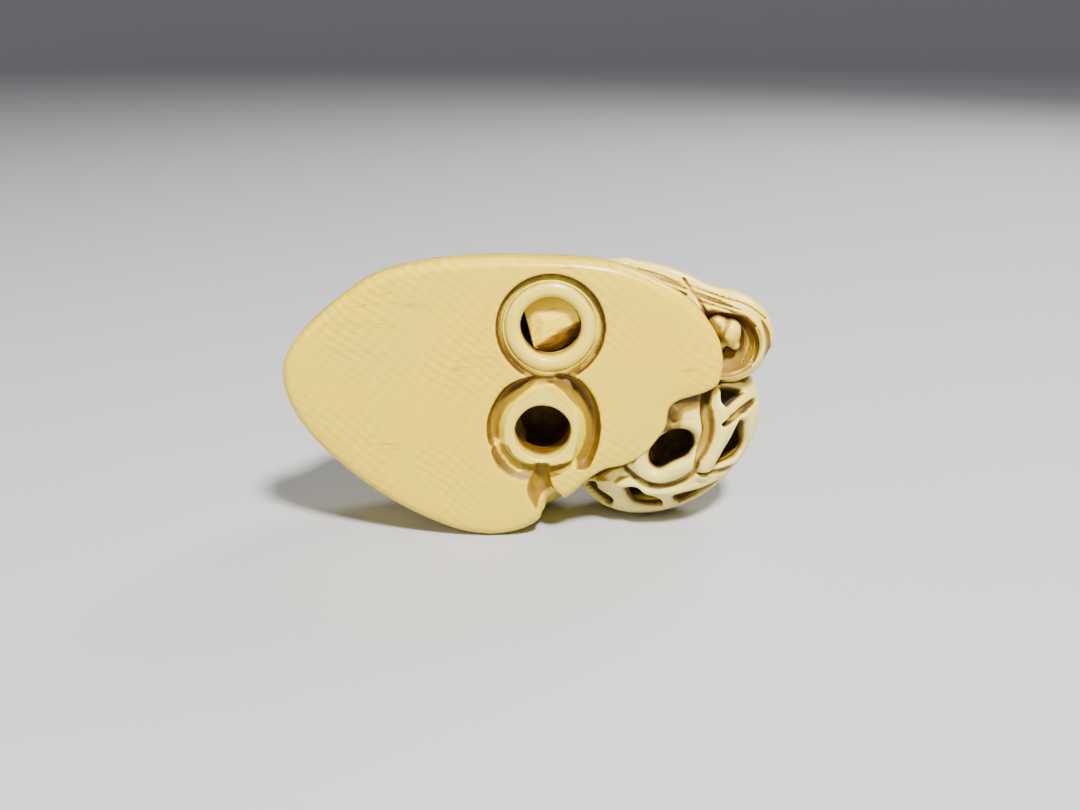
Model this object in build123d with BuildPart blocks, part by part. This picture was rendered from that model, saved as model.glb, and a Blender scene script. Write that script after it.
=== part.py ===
from build123d import *

import math
import os

# A carved toggle button: a flat polished base with two collared cord holes, and a domed back, a folded leaf
# and an openwork pod carved behind it.
#
# Frame: the base face looks along -Y, +X runs along the button's length, +Z is up, and the origin is on the
# ground under the middle of the bounding box. The button stands on the lower edge of its base, on its back
# and on its pod. A depth is measured backwards from the base face. All sizes are in millimetres.

# ---- driving sizes ----------------------------------------------------------------------------------------
plate_length = 40.0
plate_height = 26.5
plate_thickness = 3.2
plate_edge_round = 0.5
leaf_overhang = 5.3  # how far the folded leaf stands out past the base, lengthwise
overall_depth = 16.5

# Cord holes, placed along from the base's left end and up from the ground.
upper_hole_along = 24.35
upper_hole_up = 20.3
upper_hole_radius = 2.75
lower_hole_along = 23.65
lower_hole_up = 10.4
lower_hole_radius = 2.6
hole_dish = 0.5  # dished rim of each hole

# Collars round the cord holes.
upper_collar_wall = 1.4
upper_collar_length = 1.9
lower_collar_wall = 0.75
lower_collar_length = 3.6
lower_collar_peak = 4.3  # tip of the drop-shaped collar, above its hole's centre
lower_peak_radius = 0.5
collar_recess = 0.15  # rims lie this far below the base face
collar_edge_round = 0.2

# Carved grooves in the base face.
ring_groove_width = 0.6
ring_groove_depth = 0.8
left_groove_radius = 4.45
left_groove_width = 1.3
right_groove_radius = 4.7
right_groove_width = 1.6
under_groove_radius = 3.75
under_groove_width = 0.7
side_groove_depth = 1.0
channel_width = 1.5
channel_depth = 1.6

# Domed back: a leaning ellipsoid cut flat where it meets the base.
back_half_length = 17.0
back_half_height = 13.0
back_half_depth = 9.5
back_lean = 20.0  # degrees, its lower half further back
back_along = 19.05
vein_width = 0.7
vein_depth = 0.6
vein_lines = 5  # straight grooves through the middle of the back, a leaf's veins

# Cord tunnel in the back, joining the two holes, and the whittled stub in its upper end.
tunnel_floor_depth = 8.4
stub_radius = 2.85
stub_front_gap = 0.2  # behind the upper collar
stub_root = 1.0  # how far the stub is let into the tunnel's floor
stub_flat = 1.95  # from the stub's axis to its flat left side
stub_left_slope = 38.0
stub_right_slope = 52.0
stub_top_slope = 12.0

# Openwork pod: a hollow spheroid lying at a slant.
pod_half_length = 9.8
pod_radius = 7.0
pod_wall = 1.7
pod_slant = 36.0  # degrees, its long axis above the ground
pod_along = 35.7
pod_front_depth = 0.3
pod_eye_length = 5.2
pod_eye_width = 3.1
pod_eye_turn = 28.0
pod_ring_width = 1.0
pod_ring_groove = 0.5

# Folded leaf: a hood with a hollow, a rolled tail along the top of the base, and a root under the base.
hood_radius = 4.95
hood_half_height = 4.4
hood_up = 18.1
hood_depth = 5.9
hollow_radius = 3.0
hollow_half_height = 2.9
hollow_inset = 0.9  # from the hood's centre towards the base
hollow_forward = 3.5
tail_half_length = 6.8
tail_radius = 2.7
tail_along = 34.6
tail_up = 22.0
tail_depth = 6.0
tail_slant = -18.0
root_radius = 5.2
root_along = 34.4
root_up = 18.0
root_depth = 8.6
bud_radius = 1.6
bud_half_height = 1.9

# Pegs that hold the pieces together.
peg_radius = 0.8
plate_peg_length = 5.4
plate_peg_in_plate = 2.0
carving_peg_length = 3.4
peg_in_carving = 1.1

# Clearances.
peg_gap = 0.02
peg_end_gap = 0.15
collar_gap = 0.02
seat_gap = 0.06
stub_gap = 0.03
tunnel_gap = 0.15  # round the stub, inside the tunnel
tunnel_flare = 0.45  # how much wider the tunnel's lower end is than the hole in front of it

tip_flat_angle = 6.0  # degrees of ellipse left off at each end of a rounded body

# ---- places worked out from the sizes ---------------------------------------------------------------------
left_x = -(plate_length + leaf_overhang) / 2
face_y = -overall_depth / 2
upper_hole = (left_x + upper_hole_along, upper_hole_up)
lower_hole = (left_x + lower_hole_along, lower_hole_up)
upper_collar_radius = upper_hole_radius + upper_collar_wall
lower_collar_radius = lower_hole_radius + lower_collar_wall
stub_front_depth = collar_recess + upper_collar_length + stub_front_gap

lean = math.radians(back_lean)
back_reach_up = math.hypot(back_half_height * math.cos(lean), back_half_depth * math.sin(lean))
back_reach_back = math.hypot(back_half_height * math.sin(lean), back_half_depth * math.cos(lean))
back_centre = Vector(left_x + back_along, face_y + overall_depth - back_reach_back, back_reach_up)

slant = math.radians(pod_slant)
pod_reach_up = math.hypot(pod_half_length * math.sin(slant), pod_radius * math.cos(slant))
pod_centre = Vector(left_x + pod_along, face_y + pod_front_depth + pod_radius, pod_reach_up)
pod_axis = Vector(math.cos(slant), 0, math.sin(slant))

hood_centre = Vector(left_x + plate_length + leaf_overhang - hood_radius, face_y + hood_depth, hood_up)
hollow_centre = hood_centre - Vector(hollow_inset, hollow_forward, 0)
bud_centre = hollow_centre + Vector(0, hollow_radius - 0.3 * bud_radius, 0.2 * bud_radius)
tail_centre = Vector(left_x + tail_along, face_y + tail_depth, tail_up)
root_centre = Vector(left_x + root_along, face_y + root_depth, root_up)


def facePlane(depth):
    """Sketch plane parallel to the base face: local x is X, local y is Z, and extruding runs to the front."""
    return Plane(origin=(0, face_y + depth, 0), x_dir=(1, 0, 0), z_dir=(0, -1, 0))


def onPlate(along, up):
    """A point of the base's outline, given as shares of its length and its height."""
    return (left_x + along * plate_length, up * plate_height)


def ellipsoid(centre, turns, half_length, half_depth, half_height):
    """An ellipsoid with a small flat at each end of its own X axis, turned in degrees about X, Y and Z."""
    with BuildPart() as body:
        with BuildSketch(Plane.XZ):
            with BuildLine():
                outline = EllipticalCenterArc(
                    (0, 0), half_length, half_height, tip_flat_angle, arc_size=180 - 2 * tip_flat_angle
                )
                right_end = outline @ 0
                left_end = outline @ 1
                Polyline(left_end, (left_end.X, 0), (right_end.X, 0), right_end)
            make_face()
        revolve(axis=Axis.X)
        if half_depth != half_height:
            scale(by=(1, half_depth / half_height, 1))
    return body.part.moved(Location(centre, turns))


def podShape(grow):
    """The pod's outer shape, grown by a gap or drawn in by a wall."""
    radius = pod_radius + grow
    return ellipsoid(pod_centre, (0, -pod_slant, 0), pod_half_length + grow, radius, radius)


def hoodShape(grow):
    """The leaf's hood, grown by a gap."""
    radius = hood_radius + grow
    return ellipsoid(hood_centre, (0, -90, 0), hood_half_height + grow, radius, radius)


def tailShape(grow):
    """The leaf's rolled tail, grown by a gap."""
    radius = tail_radius + grow
    return ellipsoid(tail_centre, (0, -tail_slant, 0), tail_half_length + grow, radius, radius)


def rootShape(grow):
    """The leaf's round root, grown by a gap."""
    with BuildPart() as body:
        Sphere(root_radius + grow)
    return body.part.moved(Location(root_centre))


def budShape(grow):
    """The bud in the leaf's hollow, grown by a gap."""
    radius = bud_radius + grow
    return ellipsoid(bud_centre, (0, -90, 0), bud_half_height + grow, radius, radius)


def reach(direction, axis, half_length, radius):
    """Distance from a spheroid's centre to its surface in a direction."""
    along = direction.dot(axis)
    return 1 / math.sqrt((along / half_length) ** 2 + (1 - along**2) / radius**2)


def savePiece(piece, name):
    piece.part.label = name
    export_step(piece.part, f"parts/{name}.step")


def dropOutline(grow):
    """The lower collar's outline about its hole: a circle pulled up to a rounded peak, grown by a gap."""
    with BuildSketch() as outline:
        Circle(lower_collar_radius + grow)
        with Locations((0, lower_collar_peak - lower_peak_radius)):
            Circle(lower_peak_radius + grow)
        make_hull()
    return outline.sketch


os.makedirs("parts", exist_ok=True)

# ---- shapes made ahead: carvings, their seats, and outlines -----------------------------------------------
pod_shape = podShape(0)
pod_core = podShape(-pod_wall)
pod_seat = podShape(seat_gap)
groove_core = podShape(-pod_ring_groove)
hood_shape = hoodShape(0)
hood_seat = hoodShape(seat_gap)
tail_shape = tailShape(0)
tail_seat = tailShape(seat_gap)
root_shape = rootShape(0)
root_seat = rootShape(seat_gap)
bud_shape = budShape(0)
bud_seat = budShape(seat_gap)
leaf_hollow = ellipsoid(hollow_centre, (0, -90, 0), hollow_half_height, hollow_radius, hollow_radius)
back_shape = ellipsoid(
    back_centre, (back_lean, 0, 0), back_half_length, back_half_depth, back_half_height
)
vein_core = ellipsoid(
    back_centre,
    (back_lean, 0, 0),
    back_half_length - vein_depth,
    back_half_depth - vein_depth,
    back_half_height - vein_depth,
)
drop_outline = dropOutline(0)
drop_seat_outline = dropOutline(collar_gap)

# ---- pegs, and the shapes of their holes ------------------------------------------------------------------
# Pegs between the base and the back, as places on the base face.
plate_peg_places = [onPlate(0.22, 0.57), onPlate(0.39, 0.24), onPlate(0.71, 0.62)]
plate_peg_top = plate_thickness - plate_peg_in_plate

# Pegs between the carvings and the back, each square to its carving's surface.
pod_peg_way = Vector(-0.75, 0.5, 0.35).normalized()
leaf_peg_way = Vector(-0.8, 0.2, -0.5).normalized()
pod_peg_start = pod_centre + pod_peg_way * (
    reach(pod_peg_way, pod_axis, pod_half_length, pod_radius) - peg_in_carving
)
leaf_peg_start = root_centre + leaf_peg_way * (root_radius - peg_in_carving)


def carvingPeg(start, way, radius, extra):
    """A round peg from a start point along a way, lengthened at both ends."""
    with BuildPart() as body:
        with BuildSketch(Plane(origin=start - way * extra, z_dir=way)):
            Circle(radius)
        extrude(amount=carving_peg_length + 2 * extra)
    return body.part


pod_peg_hole = carvingPeg(pod_peg_start, pod_peg_way, peg_radius + peg_gap, peg_end_gap)
leaf_peg_hole = carvingPeg(leaf_peg_start, leaf_peg_way, peg_radius + peg_gap, peg_end_gap)

# ---- base plate -------------------------------------------------------------------------------------------
with BuildPart() as base_plate:
    with BuildSketch(facePlane(plate_thickness)):
        with BuildLine():
            Spline(
                onPlate(0.604, 0.125),
                onPlate(0.589, 0.073),
                onPlate(0.555, 0.030),
                onPlate(0.466, 0.0),
                tangents=((-0.2, -1), (-1, 0)),
            )
            Spline(
                onPlate(0.466, 0.0),
                onPlate(0.397, 0.020),
                onPlate(0.304, 0.077),
                onPlate(0.213, 0.157),
                onPlate(0.124, 0.269),
                onPlate(0.048, 0.395),
                onPlate(0.0, 0.589),
                tangents=((-1, 0), (0, 1)),
            )
            Spline(
                onPlate(0.0, 0.589),
                onPlate(0.051, 0.745),
                onPlate(0.120, 0.840),
                onPlate(0.211, 0.930),
                onPlate(0.340, 0.983),
                onPlate(0.516, 1.0),
                tangents=((0, 1), (1, 0)),
            )
            Spline(
                onPlate(0.516, 1.0),
                onPlate(0.716, 0.985),
                onPlate(0.805, 0.947),
                onPlate(0.894, 0.879),
                onPlate(0.960, 0.780),
                onPlate(1.0, 0.649),
                tangents=((1, 0), (0, -1)),
            )
            Spline(
                onPlate(1.0, 0.649),
                onPlate(0.969, 0.547),
                onPlate(0.901, 0.506),
                onPlate(0.874, 0.425),
                onPlate(0.834, 0.340),
                onPlate(0.781, 0.275),
                onPlate(0.729, 0.250),
                onPlate(0.681, 0.192),
                onPlate(0.640, 0.137),
                tangents=((-0.3, -1), (-1, -1)),
            )
            Line(onPlate(0.640, 0.137), onPlate(0.604, 0.125))
        make_face()
    extrude(amount=plate_thickness)
    front_face = base_plate.faces().sort_by(Axis.Y)[0]
    fillet(front_face.edges().sort_by(SortBy.LENGTH)[-1], radius=plate_edge_round)
    # Ring groove round the upper collar, its stepped seat, and the way through to the tunnel.
    with BuildSketch(facePlane(0)):
        with Locations(upper_hole):
            Circle(upper_collar_radius + ring_groove_width)
    extrude(amount=-ring_groove_depth, mode=Mode.SUBTRACT)
    with BuildSketch(facePlane(0)):
        with Locations(upper_hole):
            Circle(upper_collar_radius + collar_gap)
    extrude(amount=-(collar_recess + upper_collar_length), mode=Mode.SUBTRACT)
    with BuildSketch(facePlane(0)):
        with Locations(upper_hole):
            Circle(stub_radius + tunnel_gap)
    extrude(amount=-plate_thickness, mode=Mode.SUBTRACT)
    # Drop-shaped hole for the lower collar.
    with BuildSketch(facePlane(0)):
        with Locations(lower_hole):
            add(drop_seat_outline)
    extrude(amount=-plate_thickness, mode=Mode.SUBTRACT)
    # Curved grooves beside and under the lower collar.
    with BuildSketch(facePlane(0)):
        with Locations(lower_hole):
            with BuildLine(mode=Mode.PRIVATE) as left_line:
                CenterArc((0, 0), left_groove_radius, 100, 92)
            SlotArc(left_line.edge(), left_groove_width)
            with BuildLine(mode=Mode.PRIVATE) as right_line:
                CenterArc((0, 0), right_groove_radius, -34, 108)
            SlotArc(right_line.edge(), right_groove_width)
    extrude(amount=-side_groove_depth, mode=Mode.SUBTRACT)
    with BuildSketch(facePlane(0)):
        with Locations(lower_hole):
            with BuildLine(mode=Mode.PRIVATE) as under_line:
                CenterArc((0, 0), under_groove_radius, 205, 106)
            SlotArc(under_line.edge(), under_groove_width)
    extrude(amount=-side_groove_depth, mode=Mode.SUBTRACT)
    # Channel from the grooves down to the notch in the edge.
    with BuildSketch(facePlane(0)):
        with Locations(lower_hole):
            with BuildLine(mode=Mode.PRIVATE) as channel_line:
                CenterArc((6.0, -5.0), 6.0, 165, 55)
            SlotArc(channel_line.edge(), channel_width)
    extrude(amount=-channel_depth, mode=Mode.SUBTRACT)
    # Peg holes from behind, and the seats of the carvings.
    with BuildSketch(facePlane(plate_thickness)):
        with Locations(*plate_peg_places):
            Circle(peg_radius + peg_gap)
    extrude(amount=plate_peg_in_plate + peg_end_gap, mode=Mode.SUBTRACT)
    add(pod_seat, mode=Mode.SUBTRACT)
    add(hood_seat, mode=Mode.SUBTRACT)
    add(tail_seat, mode=Mode.SUBTRACT)
savePiece(base_plate, "base_plate")

# ---- collars of the cord holes ----------------------------------------------------------------------------
with BuildPart() as upper_cord_collar:
    with BuildSketch(facePlane(collar_recess)):
        with Locations(upper_hole):
            Circle(upper_collar_radius)
    extrude(amount=-upper_collar_length)
    outer_edge = upper_cord_collar.edges().sort_by(Axis.Y)[0]
    fillet(outer_edge, radius=collar_edge_round)
    with BuildSketch(facePlane(collar_recess)):
        with Locations(upper_hole):
            Circle(upper_hole_radius)
    extrude(amount=-upper_collar_length, mode=Mode.SUBTRACT)
    with BuildSketch(facePlane(collar_recess)):
        with Locations(upper_hole):
            Circle(upper_hole_radius + hole_dish)
    extrude(amount=-hole_dish, taper=45, mode=Mode.SUBTRACT)
savePiece(upper_cord_collar, "upper_cord_collar")

with BuildPart() as lower_cord_collar:
    with BuildSketch(facePlane(collar_recess)):
        with Locations(lower_hole):
            add(drop_outline)
    extrude(amount=-lower_collar_length)
    with BuildSketch(facePlane(collar_recess)):
        with Locations(lower_hole):
            Circle(lower_hole_radius)
    extrude(amount=-lower_collar_length, mode=Mode.SUBTRACT)
    with BuildSketch(facePlane(collar_recess)):
        with Locations(lower_hole):
            Circle(lower_hole_radius + hole_dish)
    extrude(amount=-hole_dish, taper=45, mode=Mode.SUBTRACT)
savePiece(lower_cord_collar, "lower_cord_collar")

# ---- whittled stub in the upper end of the tunnel ---------------------------------------------------------
stub_tip = Vector(upper_hole[0], face_y + stub_front_depth, upper_hole[1])


def stubFacet(place, turn, slope):
    """Cutting plane of a facet: it leans away from the base face by a slope, downhill towards a turn."""
    downhill = Vector(math.cos(math.radians(turn)), 0, math.sin(math.radians(turn)))
    steep = math.radians(slope)
    return Plane(origin=place, z_dir=downhill * math.sin(steep) + Vector(0, -math.cos(steep), 0))


with BuildPart() as whittled_stub:
    with BuildSketch(facePlane(tunnel_floor_depth + stub_root)):
        with Locations(upper_hole):
            Circle(stub_radius)
    extrude(amount=tunnel_floor_depth + stub_root - stub_front_depth)
    split(bisect_by=stubFacet(stub_tip + Vector(0, 0, 0.6), 250, stub_left_slope), keep=Keep.BOTTOM)
    split(bisect_by=stubFacet(stub_tip + Vector(0.5, 0, 0), -35, stub_right_slope), keep=Keep.BOTTOM)
    split(bisect_by=stubFacet(stub_tip + Vector(0, 0, 0.8), 80, stub_top_slope), keep=Keep.BOTTOM)
    # The flat left side stops at the tunnel's floor.
    with BuildSketch(facePlane(tunnel_floor_depth)):
        with Locations((upper_hole[0] - stub_flat, upper_hole[1])):
            Rectangle(stub_radius, 2 * stub_radius, align=(Align.MAX, Align.CENTER))
    extrude(amount=tunnel_floor_depth, mode=Mode.SUBTRACT)
savePiece(whittled_stub, "whittled_stub")

# ---- domed back -------------------------------------------------------------------------------------------
with BuildPart() as vein_cutter:
    with Locations(Location(back_centre, (back_lean, 0, 0))):
        for line in range(vein_lines):
            Box(
                2 * back_half_length,
                2 * back_half_depth,
                vein_width,
                rotation=(0, line * 180 / vein_lines, 0),
                align=(Align.CENTER, Align.MIN, Align.CENTER),
            )
    add(vein_core, mode=Mode.SUBTRACT)

with BuildPart() as carved_back:
    add(back_shape)
    split(bisect_by=facePlane(plate_thickness), keep=Keep.BOTTOM)
    add(vein_cutter.part, mode=Mode.SUBTRACT)
    # Tunnel, the lower collar's counterbore, and the stub's socket in the tunnel's floor.
    with BuildSketch(facePlane(plate_thickness)):
        with Locations(lower_hole):
            Circle(lower_hole_radius + tunnel_flare)
        with Locations(upper_hole):
            Circle(stub_radius + tunnel_gap)
        make_hull()
    extrude(amount=-(tunnel_floor_depth - plate_thickness), mode=Mode.SUBTRACT)
    with BuildSketch(facePlane(collar_recess + lower_collar_length)):
        with Locations(lower_hole):
            add(drop_seat_outline)
    extrude(amount=lower_collar_length, mode=Mode.SUBTRACT)
    with BuildSketch(facePlane(tunnel_floor_depth)):
        with Locations(upper_hole):
            Circle(stub_radius + stub_gap)
    extrude(amount=-(stub_root + stub_gap), mode=Mode.SUBTRACT)
    # Peg holes, and the seats of the carvings.
    with BuildSketch(facePlane(plate_thickness)):
        with Locations(*plate_peg_places):
            Circle(peg_radius + peg_gap)
    extrude(amount=-(plate_peg_length - plate_peg_in_plate + peg_end_gap), mode=Mode.SUBTRACT)
    add(pod_peg_hole, mode=Mode.SUBTRACT)
    add(leaf_peg_hole, mode=Mode.SUBTRACT)
    add(pod_seat, mode=Mode.SUBTRACT)
    add(hood_seat, mode=Mode.SUBTRACT)
    add(tail_seat, mode=Mode.SUBTRACT)
    add(root_seat, mode=Mode.SUBTRACT)
savePiece(carved_back, "carved_back")

# ---- folded leaf and the bud in its hollow ----------------------------------------------------------------
with BuildPart() as folded_leaf:
    add(hood_shape)
    add(tail_shape)
    add(root_shape)
    add(leaf_hollow, mode=Mode.SUBTRACT)
    add(bud_seat, mode=Mode.SUBTRACT)
    add(pod_seat, mode=Mode.SUBTRACT)
    add(leaf_peg_hole, mode=Mode.SUBTRACT)
savePiece(folded_leaf, "folded_leaf")

with BuildPart() as leaf_bud:
    add(bud_shape)
savePiece(leaf_bud, "leaf_bud")

# ---- openwork pod -----------------------------------------------------------------------------------------
# Windows through the pod's wall: where each one's axis leaves the pod's centre, and its own length, width
# and turn.
pod_windows = [
    (Vector(0.15, -7.0, 0.12), pod_eye_length, pod_eye_width, pod_eye_turn),
    (Vector(5.35, -4.4, 5.1), 2.6, 1.7, -20),
    (Vector(5.85, -5.25, 0.9), 4.6, 1.7, 75),
    (Vector(-7.05, -3.5, -4.8), 3.0, 1.9, -35),
    (Vector(-2.85, -5.5, -4.8), 4.0, 1.9, -15),
    (Vector(2.35, -4.7, -4.7), 4.2, 1.6, 12),
    (Vector(6.5, 3.0, 1.0), 4.4, 2.6, 60),
    (Vector(2.0, 5.5, -4.2), 4.4, 2.4, 5),
    (Vector(-2.6, 4.4, -5.2), 3.6, 2.4, -10),
]
# An oval groove outlines the eye's raised ring.
with BuildPart() as eye_groove:
    with BuildSketch(Plane(origin=pod_centre, x_dir=(1, 0, 0), z_dir=(0, -1, 0))):
        outer_length = pod_eye_length / 2 + pod_ring_width + pod_ring_groove
        outer_width = pod_eye_width / 2 + pod_ring_width + pod_ring_groove
        Ellipse(outer_length, outer_width, rotation=pod_eye_turn)
        Ellipse(
            outer_length - pod_ring_groove,
            outer_width - pod_ring_groove,
            rotation=pod_eye_turn,
            mode=Mode.SUBTRACT,
        )
    extrude(amount=pod_radius + pod_half_length)
    add(groove_core, mode=Mode.SUBTRACT)
with BuildPart() as openwork_pod:
    add(pod_shape)
    add(pod_core, mode=Mode.SUBTRACT)
    for way, length, width, turn in pod_windows:
        start = pod_centre + way.normalized() * (0.45 * pod_radius)
        level = Vector(0, 0, 1).cross(way).normalized()
        with BuildSketch(Plane(origin=start, x_dir=level, z_dir=way)):
            Ellipse(length / 2, width / 2, rotation=turn)
        extrude(amount=pod_half_length, mode=Mode.SUBTRACT)
    add(eye_groove.part, mode=Mode.SUBTRACT)
    add(pod_peg_hole, mode=Mode.SUBTRACT)
savePiece(openwork_pod, "openwork_pod")

# ---- pegs -------------------------------------------------------------------------------------------------
with BuildPart() as plate_pegs:
    with BuildSketch(facePlane(plate_peg_top)):
        with Locations(*plate_peg_places):
            Circle(peg_radius)
    extrude(amount=-plate_peg_length)
savePiece(plate_pegs, "plate_pegs")

pod_peg_shape = carvingPeg(pod_peg_start, pod_peg_way, peg_radius, 0)
with BuildPart() as pod_peg:
    add(pod_peg_shape)
savePiece(pod_peg, "pod_peg")

leaf_peg_shape = carvingPeg(leaf_peg_start, leaf_peg_way, peg_radius, 0)
with BuildPart() as leaf_peg:
    add(leaf_peg_shape)
savePiece(leaf_peg, "leaf_peg")
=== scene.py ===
import math

import bpy
import numpy as np
import openvdb
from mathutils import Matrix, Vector


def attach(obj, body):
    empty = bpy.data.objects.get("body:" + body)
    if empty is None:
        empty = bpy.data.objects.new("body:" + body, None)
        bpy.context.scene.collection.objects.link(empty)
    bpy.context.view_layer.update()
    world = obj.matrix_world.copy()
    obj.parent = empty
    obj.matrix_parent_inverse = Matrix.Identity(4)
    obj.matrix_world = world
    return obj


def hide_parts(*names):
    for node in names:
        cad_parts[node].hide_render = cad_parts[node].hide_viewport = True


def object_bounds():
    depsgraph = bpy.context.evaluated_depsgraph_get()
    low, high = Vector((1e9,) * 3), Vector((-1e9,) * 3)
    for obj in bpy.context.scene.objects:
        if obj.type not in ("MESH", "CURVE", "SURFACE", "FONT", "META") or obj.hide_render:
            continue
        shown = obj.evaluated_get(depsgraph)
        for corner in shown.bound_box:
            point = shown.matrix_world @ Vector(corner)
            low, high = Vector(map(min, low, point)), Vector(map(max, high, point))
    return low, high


# A carved ivory toggle, standing on edge with its flat base towards -Y.
# Shapes are worked out in millimetres as distance fields, then meshed and scaled to metres.
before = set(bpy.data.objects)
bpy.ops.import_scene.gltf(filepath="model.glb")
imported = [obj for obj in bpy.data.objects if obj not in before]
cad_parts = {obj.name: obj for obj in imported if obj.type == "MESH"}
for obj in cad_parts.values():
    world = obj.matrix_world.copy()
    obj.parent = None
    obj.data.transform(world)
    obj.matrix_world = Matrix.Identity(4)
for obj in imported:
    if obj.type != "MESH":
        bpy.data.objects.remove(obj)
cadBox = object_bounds()
coarse = 1.0

faceY = round(1000 * cadBox[0][1], 2)  # the base's polished face
carvePoint = (0.75, -115.7, 48.1)  # the front carving is cut along lines that meet here
carveDepth = 2.0  # its plan is drawn on a plane this far behind the face
seatGap = 0.05  # between pieces that lie against each other
backGap = 0.06  # round the carved back


def smoothStep(low, high, value):
    t = np.clip((value - low) / (high - low), 0, 1)
    return t * t * (3 - 2 * t)


def softMin(a, b, width):
    h = np.maximum(width - np.abs(a - b), 0) / width
    return np.minimum(a, b) - h * h * width / 4


def softMax(a, b, width):
    return -softMin(-a, -b, width)


def roundMax(a, b, radius):
    # the overlap of two shapes, with a round edge where they meet
    corner = np.hypot(np.maximum(a + radius, 0), np.maximum(b + radius, 0))
    return np.minimum(np.maximum(a, b), -radius) + corner


def cutAway(shape, *tools):
    # what is left of a shape outside all the tools
    for tool in tools:
        shape = np.maximum(shape, -tool)
    return shape


def turned(a, b, degrees):
    # two coordinates, measured on axes turned by an angle
    c, s = math.cos(math.radians(degrees)), math.sin(math.radians(degrees))
    return a * c + b * s, b * c - a * s


def curve(points, closed=False, perSpan=6):
    # a smooth line through the points
    pts = np.array(points, float)
    count = len(pts)
    line = []
    for i in range(count if closed else count - 1):
        if closed:
            a, b, c, d = (pts[(i + k) % count] for k in (-1, 0, 1, 2))
        else:
            a, b, c, d = (pts[min(max(i + k, 0), count - 1)] for k in (-1, 0, 1, 2))
        for step in range(perSpan):
            t = step / perSpan
            line.append(0.5 * (2 * b + (c - a) * t + (2 * a - 5 * b + 4 * c - d) * t ** 2
                               + (3 * b - a - 3 * c + d) * t ** 3))
    line.append(pts[0] if closed else pts[-1])
    return np.array(line)


def lineDistance(px, pz, line):
    # how far from a line, how far to its left (+) or right (-), and how far along it from 0 to 1
    best = np.full(np.broadcast(px, pz).shape, 1e9, np.float32)
    left = np.zeros_like(best)
    along = np.zeros_like(best)
    steps = np.hypot(*(line[1:] - line[:-1]).T)
    reach = np.concatenate([[0], np.cumsum(steps)])
    for i, length in enumerate(steps):
        if length < 1e-9:
            continue
        ax, az = line[i]
        dx, dz = (line[i + 1] - line[i]) / length
        t = np.clip((px - ax) * dx + (pz - az) * dz, 0, length)
        ex, ez = px - ax - t * dx, pz - az - t * dz
        gap = ex * ex + ez * ez
        closer = gap < best
        best = np.where(closer, gap, best)
        left = np.where(closer, dx * ez - dz * ex, left)
        along = np.where(closer, (reach[i] + t) / reach[-1], along)
    return np.sqrt(best), left, along


def outlineDistance(px, pz, line):
    # negative inside a closed line
    gap = lineDistance(px, pz, line)[0]
    inside = np.zeros(gap.shape, bool)
    for (ax, az), (bx, bz) in zip(line[:-1], line[1:]):
        if az != bz:
            crosses = (az > pz) != (bz > pz)
            inside ^= crosses & (px < (bx - ax) * (pz - az) / (bz - az) + ax)
    return np.where(inside, -gap, gap)


def softNoise(x, y, z, size, seed):
    # smooth random waves between -1 and 1, about one wave per size
    lattice = np.random.default_rng(seed).uniform(-1, 1, (16, 16, 16)).astype(np.float32)
    cells = []
    for v in (x, y, z):
        v = np.asarray(v, np.float32) / size + 64
        low = np.floor(v).astype(int)
        t = v - low
        cells.append((low % 16, (low + 1) % 16, t * t * (3 - 2 * t)))
    total = 0
    for corner in np.ndindex(2, 2, 2):
        weight = 1
        for far, cell in zip(corner, cells):
            weight = weight * (cell[2] if far else 1 - cell[2])
        cx, cy, cz = (cell[far] for far, cell in zip(corner, cells))
        total = total + weight * lattice[cx, cy, cz]
    return total


def ellipsoid(x, y, z, centre, halves, lean=0, slant=0):
    # slant turns it about Y so that its +X end rises, and lean turns it about X
    dx, dy, dz = x - centre[0], y - centre[1], z - centre[2]
    if slant:
        dx, dz = turned(dx, dz, slant)
    if lean:
        dy, dz = turned(dy, dz, lean)
    a, b, c = halves
    near = np.sqrt((dx / a) ** 2 + (dy / b) ** 2 + (dz / c) ** 2)
    slope = np.sqrt((dx / a ** 2) ** 2 + (dy / b ** 2) ** 2 + (dz / c ** 2) ** 2)
    return near * (near - 1) / np.maximum(slope, 1e-6)


def tube(x, y, z, points, radii):
    # a round tube through points, its radius changing evenly between them
    best = None
    for a, b, ra, rb in zip(points[:-1], points[1:], radii[:-1], radii[1:]):
        d = np.subtract(b, a)
        length = float(np.dot(d, d))
        t = np.clip(((x - a[0]) * d[0] + (y - a[1]) * d[1] + (z - a[2]) * d[2]) / length, 0, 1)
        gap = np.sqrt((x - a[0] - t * d[0]) ** 2 + (y - a[1] - t * d[1]) ** 2 + (z - a[2] - t * d[2]) ** 2)
        part = gap - (ra + (rb - ra) * t)
        best = part if best is None else softMin(best, part, 0.4)
    return best


# Plans: flat drawings sampled finely once, then looked up from the solid shapes.
planStep = 0.06
planX = np.arange(-24, 24.5, planStep, dtype=np.float32)
planZ = np.arange(-2, 29, planStep, dtype=np.float32)
acrossX, acrossZ = planX[:, None], planZ[None, :]


def newPlan(value=0.0):
    return np.full((len(planX), len(planZ)), value, np.float32)


def planWindow(line, margin):
    # the part of a plan that a line can touch
    lowX, lowZ = line.min(0) - margin
    highX, highZ = line.max(0) + margin
    ix = slice(*np.searchsorted(planX, (lowX, highX)))
    iz = slice(*np.searchsorted(planZ, (lowZ, highZ)))
    return (ix, iz), planX[ix][:, None], planZ[iz][None, :]


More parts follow.
